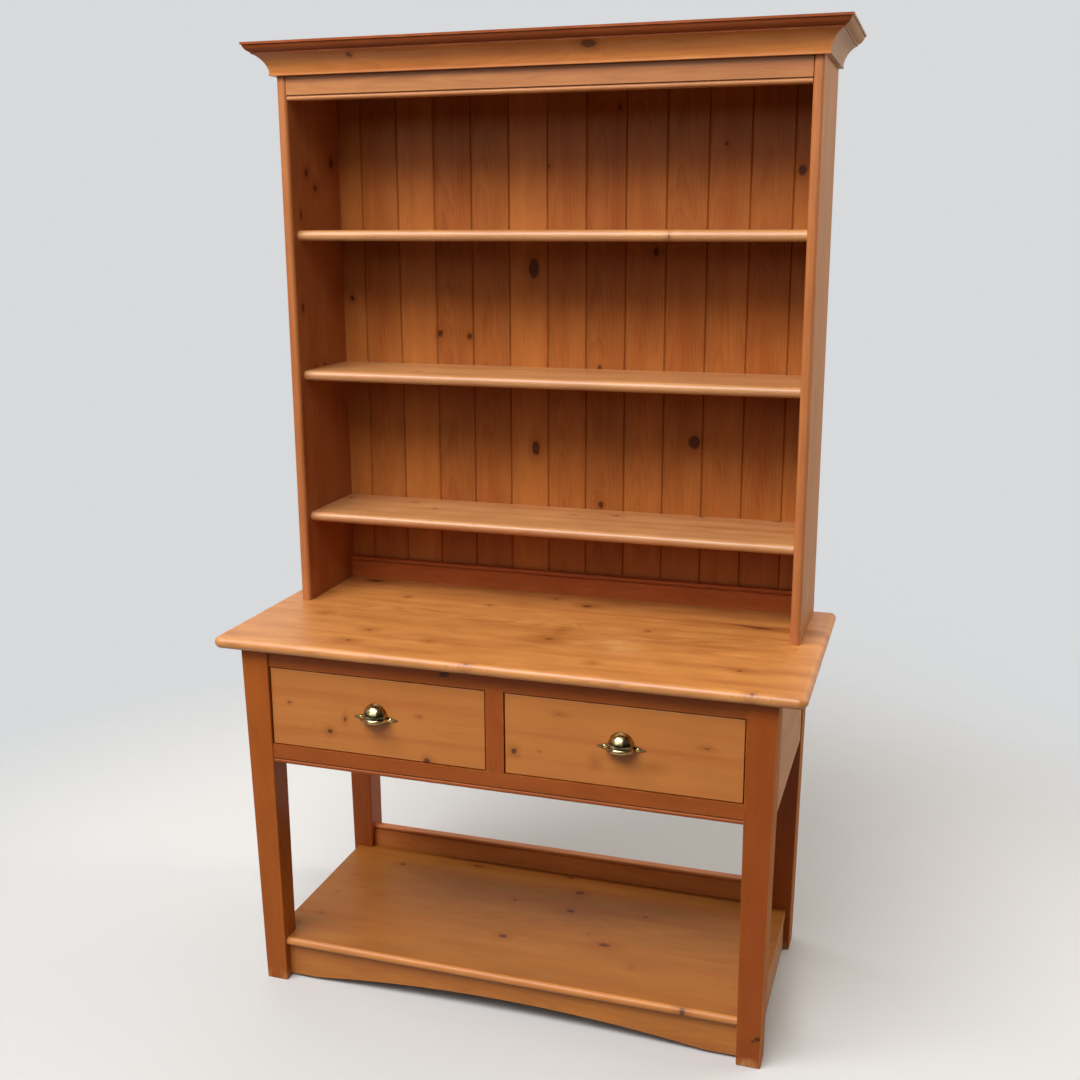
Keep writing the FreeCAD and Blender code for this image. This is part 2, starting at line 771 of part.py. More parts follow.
for name, front, left in (("leg_front_left", True, True), ("leg_front_right", True, False),
                          ("leg_rear_left", False, True), ("leg_rear_right", False, False)):
    leg = tapered_leg(front)
    if left:
        leg = mirrored(leg)
    for rail in frame_joints:
        leg = leg.cut(rail)
    nodes[name] = leg

# The drawers
pull, pull_screws = make_pull()
drawer = make_drawer()
for screw in pull_screws:
    drawer["front"] = drawer["front"].cut(screw)
drawer["pull"] = pull
drawer["pull_screws"] = Part.makeCompound(pull_screws)
other_hand = {"side_left": "side_right", "side_right": "side_left"}
for part, shape in drawer.items():
    nodes["drawer_right_" + part] = shape
    nodes["drawer_left_" + other_hand.get(part, part)] = mirrored(shape)

# The plate rack
shelves = {
    "shelf_lower": make_shelf(shelf_lower_height),
    "shelf_middle": make_shelf(shelf_middle_height),
    "shelf_upper": make_shelf(shelf_upper_height),
}
nodes.update(shelves)
frieze, rack_top_board, rack_back_rail = make_rack_rails()
nodes["frieze_rail"] = frieze
nodes["rack_top_board"] = rack_top_board
nodes["rack_back_rail"] = rack_back_rail
dowels = make_dowels()
nodes["rack_dowels"] = Part.makeCompound(dowels)
upright_right = make_upright(list(shelves.values()) + [frieze, rack_top_board] + dowels)
nodes["rack_upright_right"] = upright_right
nodes["rack_upright_left"] = mirrored(upright_right)
wide_boards, nodes["back_board_left"], nodes["back_board_right"] = make_back_boards()
nodes["back_boards"] = Part.makeCompound(wide_boards)
cornice_front, cornice_right = make_cornice()
nodes["cornice_front"] = cornice_front
nodes["cornice_right"] = cornice_right
nodes["cornice_left"] = mirrored(cornice_right)
for piece in button_screws + dowels:
    table_top = table_top.cut(piece)
nodes["table_top"] = table_top

os.makedirs("parts", exist_ok=True)
for name, shape in sorted(nodes.items()):
    shape.exportStep("parts/" + name + ".step")
    print(name, "solids", len(shape.Solids), "valid", shape.isValid(), "cm3", round(shape.Volume / 1000, 2))
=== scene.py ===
import math

import bpy
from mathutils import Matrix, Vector


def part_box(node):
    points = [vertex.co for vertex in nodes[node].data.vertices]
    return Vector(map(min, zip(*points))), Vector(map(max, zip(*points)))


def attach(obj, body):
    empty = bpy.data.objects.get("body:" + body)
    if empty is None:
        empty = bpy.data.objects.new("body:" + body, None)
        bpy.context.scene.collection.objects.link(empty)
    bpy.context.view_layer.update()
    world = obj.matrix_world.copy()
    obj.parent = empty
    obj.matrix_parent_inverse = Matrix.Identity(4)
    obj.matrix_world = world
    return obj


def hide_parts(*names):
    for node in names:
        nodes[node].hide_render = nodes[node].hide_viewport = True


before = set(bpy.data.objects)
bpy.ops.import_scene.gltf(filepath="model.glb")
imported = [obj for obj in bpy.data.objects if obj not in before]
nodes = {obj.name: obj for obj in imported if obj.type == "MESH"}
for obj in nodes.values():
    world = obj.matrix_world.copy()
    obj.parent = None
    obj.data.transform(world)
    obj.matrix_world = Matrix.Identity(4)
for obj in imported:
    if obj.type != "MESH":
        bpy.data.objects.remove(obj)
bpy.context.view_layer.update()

MM = 0.001
SEGMENTS = 8
SAME_PLACE = 0.05 * MM
SMOOTH_BELOW = math.radians(32)


def near(a, b):
    return abs(a - b) < SAME_PLACE


# Shaping tools, used as at the bench: start from sawn stock, pick edges or faces, then work them.

def only(piece):
    """Makes a piece the one that the next operator works on."""
    bpy.ops.object.select_all(action="DESELECT")
    piece.select_set(True)
    bpy.context.view_layer.objects.active = piece


def settle(piece):
    """Leaves a piece at the origin with its place in its mesh."""
    only(piece)
    bpy.ops.object.transform_apply(location=True, rotation=True, scale=True)


def named(name):
    piece = bpy.context.object
    piece.name = name
    piece.data.name = name
    return piece


def stock(name, low, high):
    """A sawn length of timber between two corners, with square edges still."""
    bpy.ops.object.select_all(action="DESELECT")
    low, high = Vector(low), Vector(high)
    bpy.ops.mesh.primitive_cube_add(size=1, location=(low + high) / 2)
    piece = named(name)
    piece.scale = high - low
    settle(piece)
    return piece


def pick(piece, kind, test):
    """Edit mode with only those vertices, edges or faces selected whose middle passes a test."""
    only(piece)
    bpy.ops.object.mode_set(mode="EDIT")
    bpy.ops.mesh.select_mode(type=kind)
    bpy.ops.mesh.select_all(action="DESELECT")
    bpy.ops.object.mode_set(mode="OBJECT")
    mesh = piece.data
    if kind == "VERT":
        for vertex in mesh.vertices:
            vertex.select = test(vertex.co)
    elif kind == "EDGE":
        for edge in mesh.edges:
            ends = [mesh.vertices[i].co for i in edge.vertices]
            edge.select = test((ends[0] + ends[1]) / 2)
    else:
        for face in mesh.polygons:
            face.select = test(face.center)
    bpy.ops.object.mode_set(mode="EDIT")


def done():
    bpy.ops.object.mode_set(mode="OBJECT")


def round_over(piece, test, radius, segments=SEGMENTS):
    """Planes the picked edges to a round."""
    pick(piece, "EDGE", test)
    bpy.ops.mesh.bevel(offset=radius, segments=segments, profile=0.5, affect="EDGES", clamp_overlap=True)
    done()


def saw(piece, point, normal, drop=False):
    """Cuts through a piece on a plane; drop throws away the side that the normal points to."""
    pick(piece, "VERT", lambda p: True)
    bpy.ops.mesh.select_all(action="SELECT")
    bpy.ops.mesh.bisect(plane_co=point, plane_no=normal, clear_outer=drop, use_fill=drop)
    done()


def push(piece, test, way):
    """Extrudes the picked faces."""
    pick(piece, "FACE", test)
    bpy.ops.mesh.extrude_region_move(TRANSFORM_OT_translate={"value": way})
    done()


def shift(piece, test, way):
    """Moves the picked vertices."""
    pick(piece, "VERT", test)
    bpy.ops.transform.translate(value=way)
    done()


def chop(piece, low, high):
    """Chops a block of waste out of a piece, to take another piece's end."""
    waste = stock("waste", low, high)
    only(piece)
    cut = piece.modifiers.new("housing", "BOOLEAN")
    cut.operation = "DIFFERENCE"
    cut.object = waste
    bpy.ops.object.modifier_apply(modifier=cut.name)
    only(waste)
    bpy.ops.object.delete()


def copy_of(piece, name, way):
    """A second piece of the same make, with a mesh of its own, set off from the first."""
    only(piece)
    bpy.ops.object.duplicate()
    copy = named(name)
    copy.location = way
    settle(copy)
    return copy


def paint(piece, material, test=lambda p: True):
    """Gives a finish to the faces whose middle passes a test."""
    piece.data.materials.append(material)
    for face in piece.data.polygons:
        if test(face.center):
            face.material_index = len(piece.data.materials) - 1


def finish_piece(piece, material, slot, body, *replaced):
    """Smooth rounds beside flat faces, then the finish, the CAD nodes it stands for and its body."""
    only(piece)
    bpy.ops.object.shade_smooth_by_angle(angle=SMOOTH_BELOW)
    modifier = piece.modifiers.new("flat faces", "WEIGHTED_NORMAL")
    modifier.keep_sharp = True
    bpy.ops.object.modifier_apply(modifier=modifier.name)
    paint(piece, material)
    if replaced:
        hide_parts(*replaced)
    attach(piece, body)


# Materials

def tint(code):
    """An sRGB hex colour as linear values."""
    values = [int(code[i:i + 2], 16) / 255 for i in (1, 3, 5)]
    linear = [v / 12.92 if v <= 0.04045 else ((v + 0.055) / 1.055) ** 2.4 for v in values]
    return (*linear, 1.0)


def add(tree, kind, inputs=None, **settings):
    """Adds a node; each input is a value to set or a socket to link."""
    node = tree.nodes.new(kind)
    for key, value in settings.items():
        setattr(node, key, value)
    for key, value in (inputs or {}).items():
        if isinstance(value, bpy.types.NodeSocket):
            tree.links.new(value, node.inputs[key])
        else:
            node.inputs[key].default_value = value
    return node


def new_material(name):
    material = bpy.data.materials.new(name)
    material.use_nodes = True
    material.node_tree.nodes.clear()
    return material, material.node_tree


# Width of a growth ring, how far noise moves it, how far a knot swells it and how it slopes in the board
RING = 4.2 * MM
RING_WANDER = 0.03
KNOT_SWELL = 14 * MM
GRAIN_SLOPE = 0.03

# Noise scales from real sizes in metres: first along the grain, then the two ways across it
STREAK = Vector((1 / 0.55, 1 / 0.022, 1 / 0.022))
FIBRE = Vector((1 / 0.06, 1 / 0.004, 1 / 0.004))  # drawn coarser than real fibre, so that it shows
CLOUD = Vector((1 / 0.13, 1 / 0.042, 1 / 0.042))
WANDER = Vector((1 / 0.38, 1 / 0.09, 1 / 0.09))
HEARTWOOD = Vector((1 / 0.9, 1 / 0.035, 1 / 0.035))
RUBBED = Vector((1 / 0.11, 1 / 0.03, 1 / 0.03))

# A knot from its halo inwards: where each stain fades, in knot sizes, its strength and its colour
HALO = ((0.8, 3.0), 0.45, "#84430f")
RIM = ((0.75, 1.2), 0.88)
HEART = ((0.3, 0.75), 0.3, "#5c3420")
BLACK_KNOT = "#3e170a"
RED_KNOT = "#4c2007"
KNOT_RAGGED = 5 * MM

# Other stains in the wood and its varnish, and how wide an arris wears
HEARTWOOD_RED = "#8f3f16"
RUBBED_PALE = "#dca566"
WORN_PALE = "#d0955a"
ARRIS_WIDTH = 3 * MM


def single_boards(tree, along, side, first, width):
    """Splits a node of many boards: each starts elsewhere in its tree, and has a chance shade of its own."""
    index = add(tree, "ShaderNodeMath", {0: side, 1: -first * MM}, operation="ADD").outputs[0]
    index = add(tree, "ShaderNodeMath", {0: index, 1: width * MM}, operation="DIVIDE").outputs[0]
    number = add(tree, "ShaderNodeMath", {0: index}, operation="FLOOR").outputs[0]
    shade = add(tree, "ShaderNodeTexWhiteNoise", {"W": number}, noise_dimensions="1D").outputs["Value"]
    along = add(tree, "ShaderNodeMath", {0: shade, 1: 3.0, 2: along}, operation="MULTIPLY_ADD").outputs[0]
    share = add(tree, "ShaderNodeMath", {0: index}, operation="FRACT").outputs[0]
    share = add(tree, "ShaderNodeMath", {0: share, 1: 0.5}, operation="SUBTRACT").outputs[0]
    side = add(tree, "ShaderNodeMath", {0: share, 1: width * MM}, operation="MULTIPLY").outputs[0]
    return along, side, shade


def nearest_spot(tree, place, spots, grain, face):
    """How far the nearest spot is, counted in its own half width and half length, plus its faintness."""
    nearest = None
    for x, y, z, half_width, half_length, faintness in spots:
        scale = Vector((1, 1, 1)) / (half_width * MM)
        scale[grain] = 1 / (half_length * MM)
        scale[face] = 0
        centre = Vector((x, y, z)) * MM * scale
        away = add(tree, "ShaderNodeVectorMath", {0: place, 1: scale, 2: -centre}, operation="MULTIPLY_ADD")
        away = add(tree, "ShaderNodeVectorMath", {0: away.outputs[0]}, operation="LENGTH").outputs["Value"]
        away = add(tree, "ShaderNodeMath", {0: away, 1: faintness}, operation="ADD").outputs[0]
        if nearest:
            away = add(tree, "ShaderNodeMath", {0: nearest, 1: away, 2: 0.5},
                       operation="SMOOTH_MIN").outputs[0]
        nearest = away
    return nearest


def late_wood(tree, board, along, side, deep, pith, near_knot):
    """How dark the growth ring is: the board cuts rings round the pith, which bend out round a knot."""
    wander_at = add(tree, "ShaderNodeVectorMath", {0: board, 1: WANDER}, operation="MULTIPLY").outputs[0]
    wander = add(tree, "ShaderNodeTexNoise", {"Vector": wander_at, "Scale": 1.0, "Detail": 2.0})
    tilt = add(tree, "ShaderNodeMath", {0: along, 1: GRAIN_SLOPE, 2: deep},
               operation="MULTIPLY_ADD").outputs[0]
    trunk = add(tree, "ShaderNodeCombineXYZ", {1: side, 2: tilt}).outputs[0]
    trunk = add(tree, "ShaderNodeVectorMath", {0: wander.outputs["Color"],
                                              1: (0.0, RING_WANDER, RING_WANDER), 2: trunk},
                operation="MULTIPLY_ADD").outputs[0]
    heart = (0.0, pith[0] * MM, pith[1] * MM)
    radius = add(tree, "ShaderNodeVectorMath", {0: trunk, 1: heart}, operation="DISTANCE").outputs["Value"]
    if near_knot:
        swell = add(tree, "ShaderNodeMapRange", {"Value": near_knot, "From Max": 5.0, "To Min": KNOT_SWELL,
                                                 "To Max": 0.0}, interpolation_type="SMOOTHERSTEP")
        radius = add(tree, "ShaderNodeMath", {0: radius, 1: swell.outputs[0]}, operation="ADD").outputs[0]
    rings = add(tree, "ShaderNodeMath", {0: radius, 1: RING}, operation="DIVIDE").outputs[0]
    year = add(tree, "ShaderNodeMath", {0: rings}, operation="FRACT").outputs[0]
    late = add(tree, "ShaderNodeValToRGB", {"Fac": year})
    ramp = late.color_ramp
    ramp.elements[0].color = (0, 0, 0, 1)
    ramp.elements[1].color = (0, 0, 0, 1)
    for part_of_year, amount in ((0.5, 0.18), (0.8, 0.85), (0.9, 1.0)):
        ramp.elements.new(part_of_year).color = (amount, amount, amount, 1)
    return late.outputs["Color"]


def worn_arris(tree, place, wear):
    """How far the varnish is knocked off along the arrises, in broken lengths."""
    rounded = add(tree, "ShaderNodeBevel", {"Radius": ARRIS_WIDTH}, samples=4).outputs[0]
    flat = add(tree, "ShaderNodeNewGeometry").outputs["Normal"]
    turned = add(tree, "ShaderNodeVectorMath", {0: rounded, 1: flat},
                 operation="DOT_PRODUCT").outputs["Value"]
    arris = add(tree, "ShaderNodeMapRange", {"Value": turned, "From Min": 0.98, "From Max": 0.85}).outputs[0]
    knocks = add(tree, "ShaderNodeTexNoise", {"Vector": place, "Scale": 28.0, "Detail": 4.0}).outputs["Fac"]
    knocks = add(tree, "ShaderNodeMapRange", {"Value": knocks, "From Min": 0.48, "From Max": 0.66,
                                              "To Max": wear}).outputs[0]
    return add(tree, "ShaderNodeMath", {0: arris, 1: knocks}, operation="MULTIPLY").outputs[0]


def pine(name, grain, face, honey, brown, pith, seed=0.0, figure=0.6, knots=(), rim=BLACK_KNOT, rubbed=(),
         boards=None, heartwood=0.5, wear=0.3, roughness=0.36, specular=0.3):
    """Varnished pine, flat-sawn. Seen: growth rings cut into long arches, streaks along the grain, fine
    fibre, and dark knots that the rings run round, all under a satin varnish that has gone honey-coloured
    and is rubbed pale in places.

    grain and face are axis numbers; pith is where the heart of the tree lies across and behind the board,
    in mm; knots and rubbed places are (x, y, z, half width, half length, faintness) in mm; boards is
    (first seam, width) in mm where one node is many boards."""
    material, tree = new_material(name)
    place = add(tree, "ShaderNodeTexCoord").outputs["Object"]
    axes = add(tree, "ShaderNodeSeparateXYZ", {0: place}).outputs
    along, side, deep = axes[grain], axes[3 - grain - face], axes[face]
    shade_of_board = None
    if boards:
        along, side, shade_of_board = single_boards(tree, along, side, *boards)
    else:
        along = add(tree, "ShaderNodeMath", {0: along, 1: seed}, operation="ADD").outputs[0]
    board = add(tree, "ShaderNodeCombineXYZ", {0: along, 1: side, 2: deep}).outputs[0]
    ragged = add(tree, "ShaderNodeTexNoise", {"Vector": place, "Scale": 130.0, "Detail": 1.0})
    ragged = add(tree, "ShaderNodeVectorMath", {0: ragged.outputs["Color"], 1: (-0.5,) * 3}, operation="ADD")
    ragged = add(tree, "ShaderNodeVectorMath", {0: ragged.outputs[0], 1: (KNOT_RAGGED,) * 3, 2: place},
                 operation="MULTIPLY_ADD").outputs[0]
    near_knot = nearest_spot(tree, ragged, knots, grain, face)
    late = late_wood(tree, board, along, side, deep, pith, near_knot)

    drawn_out = {}
    for kind, stretch in (("streak", STREAK), ("cloud", CLOUD), ("fibre", FIBRE), ("heart", HEARTWOOD),
                          ("rub", RUBBED)):
        at = add(tree, "ShaderNodeVectorMath", {0: board, 1: stretch}, operation="MULTIPLY").outputs[0]
        noise = add(tree, "ShaderNodeTexNoise", {"Vector": at, "Scale": 1.0, "Detail": 2.5})
        drawn_out[kind] = noise.outputs["Fac"]

    # How much each source darkens the wood, more so where the board has a strong figure
    amount = add(tree, "ShaderNodeMath", {0: late, 1: 0.32 * figure, 2: -0.65 * figure - 0.1},
                 operation="MULTIPLY_ADD").outputs[0]
    sources = [(drawn_out["streak"], 0.4 * figure + 0.1), (drawn_out["cloud"], 1.25 * figure),
               (drawn_out["fibre"], 0.5 * figure + 0.1)]
    if shade_of_board:
        sources.append((shade_of_board, 0.4))
    for source, weight in sources:
        amount = add(tree, "ShaderNodeMath", {0: source, 1: weight, 2: amount},
                     operation="MULTIPLY_ADD", use_clamp=source is sources[-1][0]).outputs[0]

    red = add(tree, "ShaderNodeMapRange", {"Value": drawn_out["heart"], "From Min": 0.5, "From Max": 0.75,
                                           "To Max": heartwood}).outputs[0]
    layers = [(amount, brown), (red, HEARTWOOD_RED)]
    if rubbed:
        near_rub = nearest_spot(tree, place, rubbed, grain, face)
        inside = add(tree, "ShaderNodeMapRange", {"Value": near_rub, "From Min": 0.3, "From Max": 1.0,
                                                  "To Min": 1.0, "To Max": 0.0}).outputs[0]
        patchy = add(tree, "ShaderNodeMapRange", {"Value": drawn_out["rub"], "From Min": 0.42,
                                                  "From Max": 0.65, "To Max": 0.5}).outputs[0]
        rub = add(tree, "ShaderNodeMath", {0: inside, 1: patchy}, operation="MULTIPLY").outputs[0]
        layers.append((rub, RUBBED_PALE))
    if near_knot:
        for (core, fade), strength, stain in (HALO, (*RIM, rim), HEART):
            dark = add(tree, "ShaderNodeMapRange", {"Value": near_knot, "From Min": core, "From Max": fade,
                                                    "To Min": strength, "To Max": 0.0},
                       interpolation_type="SMOOTHSTEP").outputs[0]
            layers.append((dark, stain))
    layers.append((worn_arris(tree, place, wear), WORN_PALE))
    colour = tint(honey)
    for share, stain in layers:
        colour = add(tree, "ShaderNodeMix", {"Factor": share, "A": colour, "B": tint(stain)},
                     data_type="RGBA").outputs["Result"]

    gloss = add(tree, "ShaderNodeMapRange", {"Value": drawn_out["streak"], "To Min": roughness - 0.06,
                                             "To Max": roughness + 0.07}).outputs[0]
    bump = add(tree, "ShaderNodeBump", {"Height": drawn_out["fibre"], "Strength": 0.1, "Distance": 0.25 * MM})
    shader = add(tree, "ShaderNodeBsdfPrincipled", {"Base Color": colour, "Roughness": gloss,
                                                    "Specular IOR Level": specular,
                                                    "Normal": bump.outputs["Normal"]})
    add(tree, "ShaderNodeOutputMaterial", {"Surface": shader.outputs[0]})
    return material


def brass(name, bright, dull):
    """Polished cast brass, lacquered and a little dulled. Seen: clear reflections with soft, brown patches
    where the lacquer has gone."""
    material, tree = new_material(name)
    place = add(tree, "ShaderNodeTexCoord").outputs["Object"]
    haze = add(tree, "ShaderNodeTexNoise", {"Vector": place, "Scale": 90.0, "Detail": 3.0})
    patches = add(tree, "ShaderNodeMapRange", {"Value": haze.outputs["Fac"], "From Min": 0.42,
                                               "From Max": 0.7})
    colour = add(tree, "ShaderNodeMix", {"Factor": patches.outputs[0], "A": tint(bright), "B": tint(dull)},
                 data_type="RGBA").outputs["Result"]
    gloss = add(tree, "ShaderNodeMapRange", {"Value": haze.outputs["Fac"], "To Min": 0.08, "To Max": 0.22})
    shader = add(tree, "ShaderNodeBsdfPrincipled", {"Base Color": colour, "Metallic": 1.0,
                                                    "Roughness": gloss.outputs[0]})
    add(tree, "ShaderNodeOutputMaterial", {"Surface": shader.outputs[0]})
    return material


def steel(name):
    """Plain drawn steel of wood screws. Seen: grey, slightly scratched metal."""
    material, tree = new_material(name)
    place = add(tree, "ShaderNodeTexCoord").outputs["Object"]
    scratch = add(tree, "ShaderNodeTexNoise", {"Vector": place, "Scale": 400.0, "Detail": 2.0})
    gloss = add(tree, "ShaderNodeMapRange", {"Value": scratch.outputs["Fac"], "To Min": 0.3, "To Max": 0.55})
    shader = add(tree, "ShaderNodeBsdfPrincipled", {"Base Color": tint("#8c8c8e"), "Metallic": 1.0,
                                                    "Roughness": gloss.outputs[0]})
    add(tree, "ShaderNodeOutputMaterial", {"Surface": shader.outputs[0]})
    return material


X, Y, Z = 0, 1, 2

# Honey and brown of each kind of piece
TABLE = ("#ce8b48", "#a3632d")
DRAWER = ("#b56f33", "#975522")
FRAME = ("#984d1b", "#72340d")
LEG = ("#974a14", "#73320a")
# A lighter copy of the leg pine for the front left leg: painted light
LEG_LEFT_LIT = ("#a25417", "#7b3a0c")
# A paler tan copy of the leg pine for the right legs' outer faces: painted sheen
LEG_SIDE_SHEEN = ("#a86c40", "#86502a")
# A greyer copy of the side pine for the right apron and plinth: painted sheen
SIDE_SHEEN = ("#ad7748", "#8a532b")
LEFT_SIDE = ("#a9652f", "#834620")
SHELF = ("#c08957", "#965f33")
FRIEZE = ("#af7341", "#874d26")
CORNICE = ("#c67e3f", "#9c5627")
# A darker copy of the cornice pine for its top mouldings: painted shade
CORNICE_SHADE = ("#8f4923", "#6c2e11")
UPRIGHT = ("#b47040", "#8b4b22")
# Greyer copies of the cornice pine for the right return: painted sheen, and on its top mouldings also painted
# shade
CORNICE_RETURN_SHEEN = ("#a98462", "#856240")
CORNICE_RETURN_TOP_SHEEN_SHADE = ("#a37d5c", "#805c40")
# A slightly greyer copy of the upright pine for the right upright: painted sheen
UPRIGHT_RIGHT_SHEEN = ("#ae753f", "#8a5629")
BACK = ("#b26c33", "#7d401a")
# Lighter and greyer than the frame pine: painted sheen
BACK_RAIL_SHEEN = ("#b25c29", "#873f16")
# The potboard's flat is darker than its half-round nose: painted shade on the flat, painted light on the nose
POTBOARD_SHADED = ("#9c6025", "#774213")
POTBOARD_NOSE_LIT = ("#cd8843", "#a5632a")
# Lighter than the frame pine, because the upstand stands in shade: painted light
UPSTAND_LIT = ("#c4773a", "#985022")
PLINTH = ("#b57031", "#905220")
BARE = ("#d9b98a", "#b8935f")

table_pine = pine(
    "pine table top", X, Z, *TABLE, pith=(30, 730), seed=0.3, figure=1.0, wear=0.1, roughness=0.42,
    specular=0.6, rim=RED_KNOT, rubbed=((195, -85, 800, 75, 95, 0.0), (240, -30, 800, 40, 70, 0.1)),
    knots=((-322, -130, 800, 15, 20, 0.78), (-333, -206, 800, 14, 24, 0.74), (-170, -164, 800, 14, 18, 0.85),
           (-467, -45, 800, 17, 20, 1.0), (471, -158, 800, 16, 18, 0.75), (-342, 121, 800, 10, 12, 0.65),
           (-140, 112, 800, 9, 12, 0.65), (62, -79, 800, 22, 34, 0.78), (70, -14, 800, 32, 16, 1.0),
           (187, -194, 800, 15, 16, 0.9), (-472, 222, 800, 18, 38, 0.4), (470, 120, 800, 15, 85, 0.6),
           (430, 128, 800, 12, 80, 0.75), (-9, 201, 800, 9, 11, 0.45), (74, 167, 800, 13, 20, 0.45),
           (246, 32, 800, 7, 8, 0.6), (-48, -270, 800, 9, 13, 0.75), (512, -270, 800, 9, 13, 0.7)))
drawer_left_pine = pine(
    "pine drawer front left", X, Y, *DRAWER, pith=(640, -152), seed=0.9, figure=0.4,
    knots=((-457, -242, 663, 4, 6, 0.5), (-329, -242, 640, 10, 6, 0.6), (-365, -242, 609, 8, 9, 0.4),
           (-148, -242, 570, 8, 9, 0.2), (-163, -242, 664, 4, 8, 0.7)))
drawer_right_pine = pine(
    "pine drawer front right", X, Y, *DRAWER, pith=(655, -172), seed=2.1, figure=0.4,
    knots=((40, -242, 616, 9, 8, 0.3), (94, -242, 621, 3, 4, 0.7), (426, -242, 669, 5, 15, 0.7),
           # The marks at 612 to 627 mm up are broad, faint dark patches just under the pull, drawn with the
           # knot stains
           (135, -242, 704, 6, 16, 0.85), (207, -242, 612, 16, 13, 1.1), (325, -242, 618, 13, 24, 1.1),
           (257, -242, 627, 8, 22, 0.95)))
leg_pine = pine(
    "pine leg", Z, Y, *LEG, pith=(400, -190), seed=0.4, wear=0.45, specular=0.18,
    rubbed=((525, 225, 0, 45, 26, 0.0),))
# The front left leg in the lighter pine: painted light
leg_left_lit_pine = pine(
    "pine leg front left", Z, Y, *LEG_LEFT_LIT, pith=(440, -190), seed=0.9, wear=0.45, specular=0.18,
    rubbed=((-525, -225, 0, 45, 30, 0.0),))
leg_right_pine = pine(
    "pine leg front right", Z, Y, *LEG, pith=(480, -190), seed=1.7, wear=0.45, specular=0.18,
    knots=((542, -240, 67, 9, 8, 0.35), (534, -240, 61, 11, 6, 0.6), (523, -245, 552, 2.5, 2.5, 0.5)),
    rubbed=((525, -225, 0, 45, 24, 0.0),))
# Outer leg faces in a paler tan, matte: painted sheen
leg_side_sheen_pine = pine(
    "matte pine leg side, painted sheen", Z, X, *LEG_SIDE_SHEEN, pith=(-200, 480), seed=0.7, wear=0.45, roughness=0.7, specular=0.05)
rail_pine = pine("pine rail", X, Y, *FRAME, pith=(620, -190), seed=0.6, specular=0.18)
top_rail_pine = pine(
    "pine top rail", X, Y, *FRAME, pith=(700, -190), seed=0.2, specular=0.18,
    knots=((-105, -244, 762, 6, 12, 0.1),))
muntin_pine = pine("pine muntin", Z, Y, *FRAME, pith=(30, -200), seed=3.3, specular=0.18)
# The right apron in the greyer pine: painted sheen
apron_right_sheen_pine = pine(
    "pine side apron", Y, X, *SIDE_SHEEN, pith=(640, 500), seed=0.5, heartwood=0.15, roughness=0.5, specular=0.15)
left_side_pine = pine(
    "pine left side", Y, X, *LEFT_SIDE, pith=(640, -500), seed=0.8, heartwood=0.3, specular=0.18)
# The potboard's flat in the darker pine: painted shade
potboard_shaded_pine = pine(
    "pine potboard", X, Z, *POTBOARD_SHADED, pith=(20, 40), seed=1.3, roughness=0.42, specular=0.22, rim=RED_KNOT,
    knots=((-483, 74, 100, 7, 12, 0.8), (-485, -14, 100, 7, 11, 0.8), (-479, -113, 100, 8, 11, 0.75),
           (-391, 152, 100, 9, 13, 0.5), (-210, 197, 100, 8, 28, 0.5), (-71, 71, 100, 8, 11, 0.6),
           (65, 146, 100, 11, 15, 0.35), (68, 62, 100, 11, 15, 0.35), (237, 87, 100, 10, 19, 0.7),
           (178, -53, 100, 15, 27, 0.5), (257, -121, 100, 12, 8, 0.75), (-46, -84, 100, 11, 16, 0.35),
           (134, -20, 100, 8, 12, 0.75), (25, 208, 100, 9, 12, 0.5), (389, -230, 100, 10, 14, 0.6)))
# The potboard's nose in the lighter pine: painted light
potboard_nose_lit_pine = pine(
    "pine potboard nose", X, Z, *POTBOARD_NOSE_LIT, pith=(20, 40), seed=1.3, wear=0.1, roughness=0.4,
    specular=0.4, knots=((389, -232, 100, 8, 14, 0.6),))
plinth_pine = pine("pine plinth", X, Y, *PLINTH, pith=(60, -160), seed=2.6, heartwood=0.3)
# The right plinth in the greyer pine: painted sheen
side_plinth_sheen_pine = pine(
    "pine side plinth", Y, X, *SIDE_SHEEN, pith=(60, 480), seed=1.6, heartwood=0.15, roughness=0.5, specular=0.15)
upright_left_pine = pine(
    "pine upright left", Z, X, *UPRIGHT, pith=(150, -500), seed=0.8, rim=RED_KNOT,
    knots=((-542, 218, 1768, 12, 14, 0.1), (-542, 98, 1744, 10, 13, 0.3), (-542, 137, 1713, 11, 11, 0.35),
           (-542, 67, 1655, 7, 18, 0.35), (-542, 56, 1458, 8, 16, 0.35), (-542, 29, 1347, 6, 8, 0.3),
           (-542, 104, 1329, 6, 8, 0.4), (-542, 147, 1326, 6, 8, 0.4)))
# The right upright in the slightly greyer pine: painted sheen
upright_right_sheen_pine = pine(
    "pine upright right", Z, X, *UPRIGHT_RIGHT_SHEEN, pith=(140, 500), seed=2.8, heartwood=0.2, roughness=0.5,
    specular=0.12)
upright_edge_pine = pine("pine upright front edge", Z, X, *UPRIGHT, pith=(140, 500), seed=2.8)
shelf_pine = pine(
    "pine shelf", X, Z, *SHELF, pith=(150, 1400), seed=0.1, wear=0.15, specular=0.5,
    knots=((-294, 102, 1322, 4, 9, 0.4), (357, 36, 1316, 6, 12, 0.5)))
lower_shelf_pine = pine(
    "pine lower shelf", X, Z, *SHELF, pith=(140, 940), seed=0.6, wear=0.15, specular=0.5,
    knots=((-356, 210, 1003, 5, 9, 0.35), (-287, 162, 1003, 4, 8, 0.4), (-525, 219, 1003, 5, 8, 0.35),
           (38, 190, 1003, 4, 9, 0.35), (130, 209, 1003, 6, 11, 0.35), (314, 250, 1003, 5, 9, 0.3),
           (479, 252, 1003, 5, 12, 0.35)))
